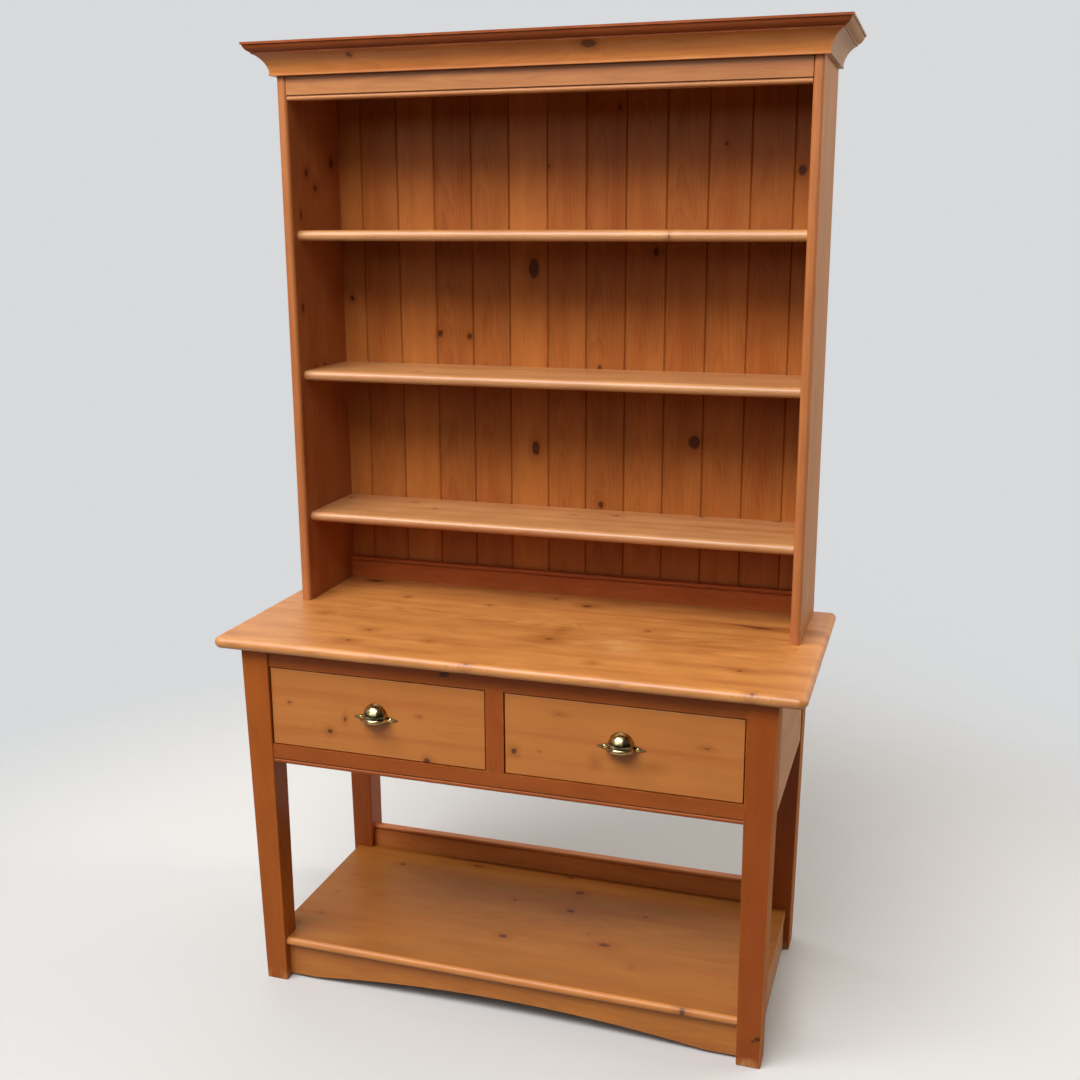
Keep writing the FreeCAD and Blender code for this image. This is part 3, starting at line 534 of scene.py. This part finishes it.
upper_shelf_pine = pine(
    "pine upper shelf", X, Z, *SHELF, pith=(150, 1560), seed=1.2, wear=0.15, specular=0.5,
    knots=((272, 47, 1616, 9, 7, 0.8),))
frieze_pine = pine("pine frieze", X, Y, *FRIEZE, pith=(1930, 90), seed=1.1)
cornice_pine = pine(
    "pine cornice", X, Y, *CORNICE, pith=(1960, 60), seed=1.9, rim=RED_KNOT,
    knots=((-383, -5, 1969, 4, 6, 0.1), (120, -5, 1970, 7, 15, 0.0)))
# The right return in the greyer pine: painted sheen
cornice_right_sheen_pine = pine(
    "pine cornice return", Y, X, *CORNICE_RETURN_SHEEN, pith=(1960, 560), seed=2.4, heartwood=0.2, roughness=0.5,
    specular=0.12)
cornice_left_pine = pine("pine cornice return left", Y, X, *CORNICE, pith=(1960, -560), seed=0.4)
# The cornice's top mouldings, front and left return, in that darker pine: painted shade
cornice_left_top_shade_pine = pine(
    "smoked pine cornice return top", Y, X, *CORNICE_SHADE, pith=(1990, -560), seed=1.1, specular=0.12)
cornice_top_shade_pine = pine(
    "pine cornice top, painted shade", X, Y, *CORNICE_SHADE, pith=(1990, 60), seed=0.5, specular=0.12)
# The right return's top mouldings, a little darker still: painted sheen and painted shade
cornice_right_top_sheen_shade_pine = pine(
    "pine cornice return top", Y, X, *CORNICE_RETURN_TOP_SHEEN_SHADE, pith=(1990, 560), seed=1.5, heartwood=0.2,
    roughness=0.6, specular=0.08)
back_pine = pine(
    "pine back boards", Z, Y, *BACK, pith=(0, 320), figure=0.5, specular=0.12, boards=(-487.3, 88.6),
    knots=((-76, 257, 1540, 12, 22, 0.0), (-303, 257, 1392, 10, 13, 0.35), (-231, 257, 1387, 9, 12, 0.35),
           (-74, 257, 1138, 9, 17, 0.0), (292, 257, 1168, 13, 15, 0.0), (81, 257, 1014, 8, 11, 0.25),
           (76, 257, 1325, 5, 7, 0.25), (346, 257, 1797, 5, 6, 0.3), (503, 257, 1741, 9, 12, 0.1),
           (-40, 257, 1757, 7, 12, 0.6), (200, 257, 1576, 9, 15, 0.3), (117, 257, 1874, 5, 8, 0.3),
           (-521, 257, 1468, 6, 8, 0.2)))
# The rack's back rail in the lighter, greyer pine: painted sheen
back_rail_sheen_pine = pine("pine rack back rail", X, Y, *BACK_RAIL_SHEEN, pith=(830, 320), seed=0.7, specular=0.18)
# The upstand in the lighter pine: painted light
upstand_lit_pine = pine("pine upstand", X, Y, *UPSTAND_LIT, pith=(130, 300), seed=1.5)
bare_pine = pine("bare pine", Y, X, *BARE, pith=(640, 300), seed=0.9, roughness=0.55)
bare_cross_pine = pine("bare pine across", X, Z, *BARE, pith=(0, 300), seed=0.9, roughness=0.55)
pull_brass = brass("polished brass", "#b9a678", "#5a4a2e")
# The ears in a darker brass than the bell: painted reflection of dark surroundings
ear_brass_dark_reflection = brass("darker ear brass, painted reflection", "#7a6540", "#4e3e26")
screw_steel = steel("screw steel")

WOOD = "varnished_pine"

# Table top: front corners rounded in plan, then a half-round all along the front and the sides
TABLE_CORNER = 18 * MM
TABLE_NOSE = 11.9 * MM
low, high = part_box("table_top")
table = stock("table_top_rounded", low, high)
round_over(table, lambda p: near(p.y, low.y) and not near(p.z, low.z) and not near(p.z, high.z),
           TABLE_CORNER)
round_over(table, lambda p: p.y < high.y - MM and (near(p.z, low.z) or near(p.z, high.z)), TABLE_NOSE)
finish_piece(table, table_pine, WOOD, "carcass", "table_top")

# Legs: planed to a taper on their outer faces, arrises softened
TAPER = 11 * MM
LEG_ARRIS = 2.5 * MM
FOOT_ARRIS = 2 * MM
leg_finish = {"leg_front_left": leg_left_lit_pine, "leg_front_right": leg_right_pine}
for name in ("leg_front_left", "leg_front_right", "leg_rear_left", "leg_rear_right"):
    low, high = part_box(name)
    leg = stock(name + "_planed", low, high)
    side, outer = (-1, low.x) if "left" in name else (1, high.x)
    shift(leg, lambda p: near(p.z, low.z) and near(p.x, outer), (-side * TAPER, 0, 0))
    if "front" in name:
        shift(leg, lambda p: near(p.z, low.z) and near(p.y, low.y), (0, TAPER, 0))
    round_over(leg, lambda p: low.z + MM < p.z < high.z - MM, LEG_ARRIS, 4)
    round_over(leg, lambda p: near(p.z, low.z), FOOT_ARRIS, 3)
    finish_piece(leg, leg_finish.get(name, leg_pine), WOOD, "carcass", name)
    # The right legs' outer faces get the paler tan: painted sheen
    if side > 0:
        paint(leg, leg_side_sheen_pine, lambda p: outer - p.x < TAPER / 2 + LEG_ARRIS)

leg_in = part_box("leg_front_right")[0].x
rack_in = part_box("rack_upright_right")[0].x

# Rails with a quirked bead along one edge: groove ploughed first, then the bead rounded
BEAD = 9 * MM
QUIRK = 2.2 * MM
QUIRK_DEPTH = 4 * MM
BEAD_ROUND = 4.2 * MM


def beaded_rail(name, half, bead_up):
    low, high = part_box(name)
    rail = stock(name + "_beaded", (-half, low.y, low.z), (half, high.y, high.z))
    edge, way = (high.z, -1) if bead_up else (low.z, 1)
    inner, outer = edge + way * BEAD, edge + way * (BEAD + QUIRK)
    saw(rail, (0, 0, inner), (0, 0, 1))
    saw(rail, (0, 0, outer), (0, 0, 1))
    push(rail, lambda p: near(p.y, low.y) and near(p.z, (inner + outer) / 2), (0, QUIRK_DEPTH, 0))
    round_over(rail, lambda p: near(p.y, low.y) and (near(p.z, edge) or near(p.z, inner)), BEAD_ROUND, 6)
    return rail


for name, half, bead_up, material in (("rail_front_bottom", leg_in, False, rail_pine),
                                      ("frieze_rail", rack_in, False, frieze_pine),
                                      ("rack_back_rail", rack_in, True, back_rail_sheen_pine),
                                      ("potboard_upstand", leg_in, True, upstand_lit_pine)):
    finish_piece(beaded_rail(name, half, bead_up), material, WOOD, "carcass", name)

# Rack uprights: rounded front edges, a rebate at the back for the boards, and a housing for the top board
UPRIGHT_ROUND = 8 * MM
SAW_PAST = 10 * MM
BOARD_CLEAR = 0.3 * MM
top_low, top_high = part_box("rack_top_board")
board_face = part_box("back_boards")[0].y
board_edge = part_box("back_board_right")[1].x
for name, material in (("rack_upright_left", upright_left_pine), ("rack_upright_right", upright_right_sheen_pine)):
    low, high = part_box(name)
    upright = stock(name + "_rounded", low, (high.x, board_face, high.z))
    side = -1 if "left" in name else 1
    lip = side * (board_edge + BOARD_CLEAR)
    saw(upright, (lip, 0, 0), (1, 0, 0))
    push(upright, lambda p: near(p.y, board_face) and side * p.x > side * lip, (0, high.y - board_face, 0))
    round_over(upright, lambda p: near(p.y, low.y) and low.z + MM < p.z < high.z - MM
               and (near(p.x, low.x) or near(p.x, high.x)), UPRIGHT_ROUND)
    start, end = sorted((0, side * top_high.x))
    chop(upright, (start, top_low.y, top_low.z), (end, board_face + SAW_PAST, high.z + SAW_PAST))
    finish_piece(upright, material, WOOD, "carcass", name)
    paint(upright, upright_edge_pine, lambda p: p.y < low.y + UPRIGHT_ROUND)

# Shelves: half-round fronts, one planed and two more like it
SHELF_NOSE = 10.9 * MM
low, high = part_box("shelf_lower")
shelf = stock("shelf_lower_nosed", (-rack_in, low.y, low.z), (rack_in, high.y, high.z))
round_over(shelf, lambda p: near(p.y, low.y) and near(p.x, 0), SHELF_NOSE)
shelves = [("shelf_lower", shelf, lower_shelf_pine)]
for name, material in (("shelf_middle", shelf_pine), ("shelf_upper", upper_shelf_pine)):
    shelves.append((name, copy_of(shelf, name + "_nosed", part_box(name)[0] - low), material))
for name, piece, material in shelves:
    finish_piece(piece, material, WOOD, "carcass", name)

# Potboard: wings between the legs, half-round front
POTBOARD_ROUND = 8.9 * MM
low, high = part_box("potboard")
leg_back_of_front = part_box("leg_front_right")[1].y
leg_front_of_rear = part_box("leg_rear_right")[0].y
potboard = stock("potboard_nosed", (-leg_in, low.y, low.z), (leg_in, high.y, high.z))
round_over(potboard, lambda p: near(p.y, low.y) and near(p.x, 0), POTBOARD_ROUND)
saw(potboard, (0, leg_back_of_front, 0), (0, 1, 0))
saw(potboard, (0, leg_front_of_rear, 0), (0, 1, 0))
for side in (-1, 1):
    push(potboard, lambda p: near(p.x, side * leg_in) and leg_back_of_front < p.y < leg_front_of_rear,
         (side * (high.x - leg_in), 0, 0))
finish_piece(potboard, potboard_shaded_pine, WOOD, "carcass", "potboard")
# The half-round nose is given the lighter pine: painted light
paint(potboard, potboard_nose_lit_pine, lambda p: p.y < low.y + POTBOARD_ROUND)

# Front plinth rail: a shallow arch sawn out of its lower edge
ARCH_HALF = 435 * MM
ARCH_RISE = 28 * MM
ARCH_STEPS = 36
low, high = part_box("plinth_front")
plinth = stock("plinth_front_arched", (-leg_in, low.y, low.z), (leg_in, high.y, high.z))
for step in range(ARCH_STEPS + 1):
    saw(plinth, (ARCH_HALF * (2 * step / ARCH_STEPS - 1), 0, 0), (1, 0, 0))
for vertex in plinth.data.vertices:
    if near(vertex.co.z, low.z) and abs(vertex.co.x) <= ARCH_HALF:
        vertex.co.z += ARCH_RISE * (1 - (vertex.co.x / ARCH_HALF) ** 2)
finish_piece(plinth, plinth_pine, WOOD, "carcass", "plinth_front")

# Cornice: lip, cove, step, ovolo and top edge in one section, run out in three lengths and mitred


def arc(start, end, swell, steps=8):
    """Points on a circular arc between two points; swell is how far its middle lies to the chord's left."""
    start, end = Vector(start), Vector(end)
    chord = end - start
    radius = (chord.length / 2) ** 2 / (2 * abs(swell)) + abs(swell) / 2
    half_angle = math.asin(chord.length / 2 / radius)
    normal = Vector((-chord.y, chord.x)).normalized() * (1 if swell > 0 else -1)
    middle = (start + end) / 2 - normal * (radius - abs(swell))
    points = []
    for step in range(steps + 1):
        turn = half_angle * (2 * step / steps - 1)
        out = normal * radius * math.cos(turn)
        points.append(middle + out + chord.normalized() * radius * math.sin(turn))
    return points


# Points of the section in mm, (out, up) from its lower inner corner
cornice_section = [
    (0, 0), (10, 0), (10, 4.5),
    *arc((8.5, 4.5), (32.5, 41), 5.2),
    (35.5, 41),
    *arc((35.5, 44), (48.5, 58.5), -2.5),
    (51, 58.5), (51, 63), (0, 63)]
rack_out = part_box("rack_upright_right")[1].x
rack_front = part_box("rack_upright_right")[0].y
rack_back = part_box("rack_upright_right")[1].y
cornice_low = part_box("cornice_front")[0].z


def cornice_length(name, place, way):
    """The section stood up as a face and pushed out along a run; place turns (out, up) into a point."""
    bpy.ops.object.select_all(action="DESELECT")
    bpy.ops.mesh.primitive_circle_add(vertices=len(cornice_section), fill_type="NGON")
    piece = named(name)
    for vertex, (out, up) in zip(piece.data.vertices, cornice_section):
        vertex.co = place(out * MM, up * MM + cornice_low)
    pick(piece, "FACE", lambda p: True)
    bpy.ops.mesh.extrude_region_move(TRANSFORM_OT_translate={"value": way})
    bpy.ops.mesh.select_all(action="SELECT")
    bpy.ops.mesh.normals_make_consistent(inside=False)
    done()
    return piece


REACH = 60 * MM
# Above this height the cornice is given the darker pine: painted shade
SHADE_FROM = 40 * MM
smoked = cornice_low + SHADE_FROM
front = cornice_length("cornice_front_run", lambda out, up: (-rack_out - REACH, rack_front - out, up),
                       (2 * (rack_out + REACH), 0, 0))
saw(front, (rack_out, rack_front, 0), (1, 1, 0), drop=True)
saw(front, (-rack_out, rack_front, 0), (-1, 1, 0), drop=True)
finish_piece(front, cornice_pine, WOOD, "carcass", "cornice_front")
paint(front, cornice_top_shade_pine, lambda p: p.z > smoked)
for side, name, below, above in ((-1, "cornice_left", cornice_left_pine, cornice_left_top_shade_pine),
                                 (1, "cornice_right", cornice_right_sheen_pine, cornice_right_top_sheen_shade_pine)):
    run = cornice_length(name + "_run", lambda out, up: (side * (rack_out + out), rack_back, up),
                         (0, rack_front - rack_back - REACH, 0))
    saw(run, (side * rack_out, rack_front, 0), (-side, -1, 0), drop=True)
    finish_piece(run, below, WOOD, "carcass", name)
    paint(run, above, lambda p: p.z > smoked)

# Cup pulls: the bell is spun from its section, and the ears are cut from sheet as a pointed oval
bell_section = [
    (32.4, 0), (33.2, 0.6), (33.2, 1.6),
    *arc((32.2, 2.4), (27, 6.2), 0.9, 4),
    *arc((27, 6.2), (0, 35), -8, 10)[1:]]
WALL = 1.5 * MM
AXIS_INSET = 3 * MM
BELL_RISE = 6 * MM
EAR_RISE = 8 * MM
EAR_FOOT = 3 * MM
EAR_HALF_HEIGHT = 10 * MM
PLATE = 1.6 * MM
PLATE_ARRIS = 0.5 * MM
SPIN_STEPS = 48
WELD = 0.02 * MM
EAR_POINTS = 64


def cup_bell(name, centre, face, foot):
    """Half a bell: its section turned about an upright axis, given a wall and cut flush with the drawer."""
    bpy.ops.object.select_all(action="DESELECT")
    bpy.ops.mesh.primitive_circle_add(vertices=len(bell_section), fill_type="NOTHING")
    bell = named(name)
    for vertex, (out, up) in zip(bell.data.vertices, bell_section):
        vertex.co = (centre - out * MM, face + AXIS_INSET, foot + up * MM)
    last = Vector((bell_section[0][0] + bell_section[-1][0], bell_section[0][1] + bell_section[-1][1])) / 2
    pick(bell, "EDGE", lambda p: near(p.x, centre - last.x * MM) and near(p.z, foot + last.y * MM))
    bpy.ops.mesh.delete(type="EDGE_FACE")
    bpy.ops.mesh.select_all(action="SELECT")
    bpy.ops.mesh.spin(steps=SPIN_STEPS, angle=-math.pi, center=(centre, face + AXIS_INSET, foot),
                      axis=(0, 0, 1))
    bpy.ops.mesh.select_all(action="SELECT")
    bpy.ops.mesh.remove_doubles(threshold=WELD)
    bpy.ops.mesh.normals_make_consistent(inside=False)
    done()
    only(bell)
    wall = bell.modifiers.new("wall", "SOLIDIFY")
    wall.thickness = WALL
    wall.offset = -1
    bpy.ops.object.modifier_apply(modifier=wall.name)
    saw(bell, (0, face, 0), (0, 1, 0), drop=True)
    return bell


def ear_plate(name, centre, half_width, face, foot):
    """The two ears: a pointed oval of sheet with its front edge eased, cut off just under the lip."""
    bpy.ops.object.select_all(action="DESELECT")
    bpy.ops.mesh.primitive_circle_add(vertices=EAR_POINTS, fill_type="NGON")
    plate = named(name)
    for vertex in plate.data.vertices:
        share, upper = vertex.co.x, vertex.co.y
        rise = math.copysign(1 - share ** 2, upper) * EAR_HALF_HEIGHT
        vertex.co = (centre + share * half_width, face, foot + max(EAR_FOOT, EAR_RISE + rise))
    pick(plate, "FACE", lambda p: True)
    bpy.ops.mesh.extrude_region_move(TRANSFORM_OT_translate={"value": (0, -PLATE, 0)})
    bpy.ops.mesh.select_all(action="SELECT")
    bpy.ops.mesh.normals_make_consistent(inside=False)
    done()
    round_over(plate, lambda p: near(p.y, face - PLATE), PLATE_ARRIS, 3)
    return plate


low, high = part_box("drawer_left_pull")
centre = (low.x + high.x) / 2
pull = cup_bell("drawer_left_cup_pull", centre, high.y, low.z + BELL_RISE)
ears = ear_plate("drawer_left_ears", centre, high.x - centre, high.y, low.z)
only(pull)
ears.select_set(True)
bpy.ops.object.join()
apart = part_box("drawer_right_pull")[0] - low
for word, piece in (("right", copy_of(pull, "drawer_right_cup_pull", apart)), ("left", pull)):
    finish_piece(piece, pull_brass, "brass", "drawer_" + word, "drawer_" + word + "_pull")
    # The ears' darker brass: painted reflection of dark surroundings
    paint(piece, ear_brass_dark_reflection, lambda p: p.y > high.y - PLATE or near(p.y, high.y - PLATE))

# CAD nodes that keep their own shape
kept = {
    "rail_front_top": top_rail_pine, "muntin_front": muntin_pine, "apron_left": left_side_pine,
    "apron_right": apron_right_sheen_pine, "apron_back": rail_pine, "plinth_left": left_side_pine,
    "plinth_right": side_plinth_sheen_pine, "plinth_back": plinth_pine, "back_boards": back_pine,
    "back_board_left": back_pine, "back_board_right": back_pine, "rack_top_board": shelf_pine,
    "drawer_left_front": drawer_left_pine, "drawer_right_front": drawer_right_pine,
    "table_top_screws": screw_steel, "drawer_left_pull_screws": pull_brass,
    "drawer_right_pull_screws": pull_brass,
}
for name, node in nodes.items():
    material = kept.get(name)
    if not material:
        material = bare_cross_pine if name.endswith(("_back", "_bottom")) else bare_pine
    for slot in node.material_slots:
        slot.material = material

# Stage: a pale sweep, floor and wall in one, in metres
FLOOR_WIDTH = 16
FLOOR_DEPTH = 8
FLOOR_MIDDLE = -1.5
WALL_PLACE = FLOOR_MIDDLE + FLOOR_DEPTH / 2
WALL_HEIGHT = 6
COVE = 0.9
COVE_SEGMENTS = 16
FADE_START = 1.2
FADE_END = 2.5
bpy.ops.object.select_all(action="DESELECT")
bpy.ops.mesh.primitive_plane_add(size=1, location=(0, FLOOR_MIDDLE, 0))
sweep = named("studio_sweep")
sweep.scale = (FLOOR_WIDTH, FLOOR_DEPTH, 1)
settle(sweep)
pick(sweep, "EDGE", lambda p: near(p.y, WALL_PLACE))
bpy.ops.mesh.extrude_region_move(TRANSFORM_OT_translate={"value": (0, 0, WALL_HEIGHT)})
done()
round_over(sweep, lambda p: near(p.y, WALL_PLACE) and near(p.z, 0), COVE, COVE_SEGMENTS)
only(sweep)
bpy.ops.object.shade_smooth()
# Pale paper: a dull, even grey that throws little light back from the floor far in front, and fades into
# the air round the dresser
material, tree = new_material("pale paper")
path = add(tree, "ShaderNodeLightPath").outputs
place = add(tree, "ShaderNodeTexCoord").outputs["Object"]
forward = add(tree, "ShaderNodeSeparateXYZ", {0: place}).outputs["Y"]
close = add(tree, "ShaderNodeMapRange", {"Value": forward, "From Min": -2.0, "From Max": -0.8})
bounce = add(tree, "ShaderNodeMix", {"Factor": close.outputs[0], "A": tint("#262524"), "B": tint("#a09d98")},
             data_type="RGBA")
colour = add(tree, "ShaderNodeMix", {"Factor": path["Is Diffuse Ray"], "A": tint("#c5c4c2"),
                                     "B": bounce.outputs["Result"]}, data_type="RGBA")
paper = add(tree, "ShaderNodeBsdfPrincipled", {"Base Color": colour.outputs["Result"], "Roughness": 0.9})
level = add(tree, "ShaderNodeVectorMath", {0: place, 1: (1, 1, 0)}, operation="MULTIPLY").outputs[0]
distance = add(tree, "ShaderNodeVectorMath", {0: level}, operation="LENGTH").outputs["Value"]
far = add(tree, "ShaderNodeMapRange", {"Value": distance, "From Min": FADE_START, "From Max": FADE_END},
          interpolation_type="SMOOTHSTEP").outputs[0]
faded = add(tree, "ShaderNodeMath", {0: far, 1: path["Is Camera Ray"]}, operation="MULTIPLY").outputs[0]
clear = add(tree, "ShaderNodeBsdfTransparent").outputs[0]
seen = add(tree, "ShaderNodeMixShader", {0: faded, 1: paper.outputs[0], 2: clear})
add(tree, "ShaderNodeOutputMaterial", {"Surface": seen.outputs[0]})
sweep.data.materials.append(material)


def softbox(name, place, target, size, power, colour="#ffffff"):
    light = bpy.data.lights.new(name, "AREA")
    light.color = tint(colour)[:3]
    light.shape = "RECTANGLE"
    light.size, light.size_y = size
    light.energy = power
    lamp = bpy.data.objects.new(name, light)
    bpy.context.collection.objects.link(lamp)
    lamp.location = place
    lamp.rotation_euler = (Vector(target) - Vector(place)).to_track_quat("-Z", "Y").to_euler()


softbox("overhead softbox", (-1.2, -2.8, 4.6), (0, 0, 0.9), (5.0, 2.2), 390)
softbox("low front softbox", (-1.0, -4.4, 3.0), (0, 0, 1.0), (5.0, 1.6), 48)
softbox("right side softbox", (3.4, 1.0, 2.2), (0.5, 0, 1.0), (1.6, 2.6), 60, "#fff6ea")
softbox("backdrop wash", (0, 1.0, 3.2), (0, 2.5, 0.6), (6.0, 0.4), 65)

# Air: dim for diffuse light, brighter overhead than at eye level where it is mirrored in varnish and brass
AIR = "#eef0f2"
AIR_SEEN = 0.8
AIR_LIGHT = 0.012
world = bpy.data.worlds.new("studio air")
bpy.context.scene.world = world
world.use_nodes = True
tree = world.node_tree
tree.nodes.clear()
path = add(tree, "ShaderNodeLightPath")
way = add(tree, "ShaderNodeSeparateXYZ", {0: add(tree, "ShaderNodeTexCoord").outputs["Generated"]})
height = add(tree, "ShaderNodeMapRange", {"Value": way.outputs["Z"], "From Min": 0.05, "From Max": 0.5,
                                          "To Min": 0.06, "To Max": 1.4})
side = add(tree, "ShaderNodeMapRange", {"Value": way.outputs["X"], "From Min": -0.2, "From Max": 0.5,
                                        "To Min": 1.0, "To Max": 0.08})
mirrored = add(tree, "ShaderNodeMath", {0: height.outputs[0], 1: side.outputs[0]}, operation="MULTIPLY")
strength = add(tree, "ShaderNodeMix", {"Factor": path.outputs["Is Glossy Ray"], "A": AIR_LIGHT,
                                       "B": mirrored.outputs[0]})
strength = add(tree, "ShaderNodeMix", {"Factor": path.outputs["Is Camera Ray"], "A": strength.outputs[0],
                                       "B": AIR_SEEN})
air = add(tree, "ShaderNodeBackground", {"Color": tint(AIR), "Strength": strength.outputs[0]})
add(tree, "ShaderNodeOutputWorld", {"Surface": air.outputs[0]})

# Camera at the photograph's place and angle, with its framing
camera_data = bpy.data.cameras.new("camera")
camera_data.sensor_width = 36
camera_data.lens = 42.61
camera_data.shift_x = -0.01117
camera_data.shift_y = -0.01271
camera_data.clip_end = 100
camera = bpy.data.objects.new("camera", camera_data)
bpy.context.collection.objects.link(camera)
camera.location = (0.82315, -2.4804, 1.63757)
camera.rotation_euler = (math.radians(76.647), math.radians(0.161), math.radians(17.385))
bpy.context.scene.camera = camera

bpy.context.scene.view_settings.view_transform = "Standard"
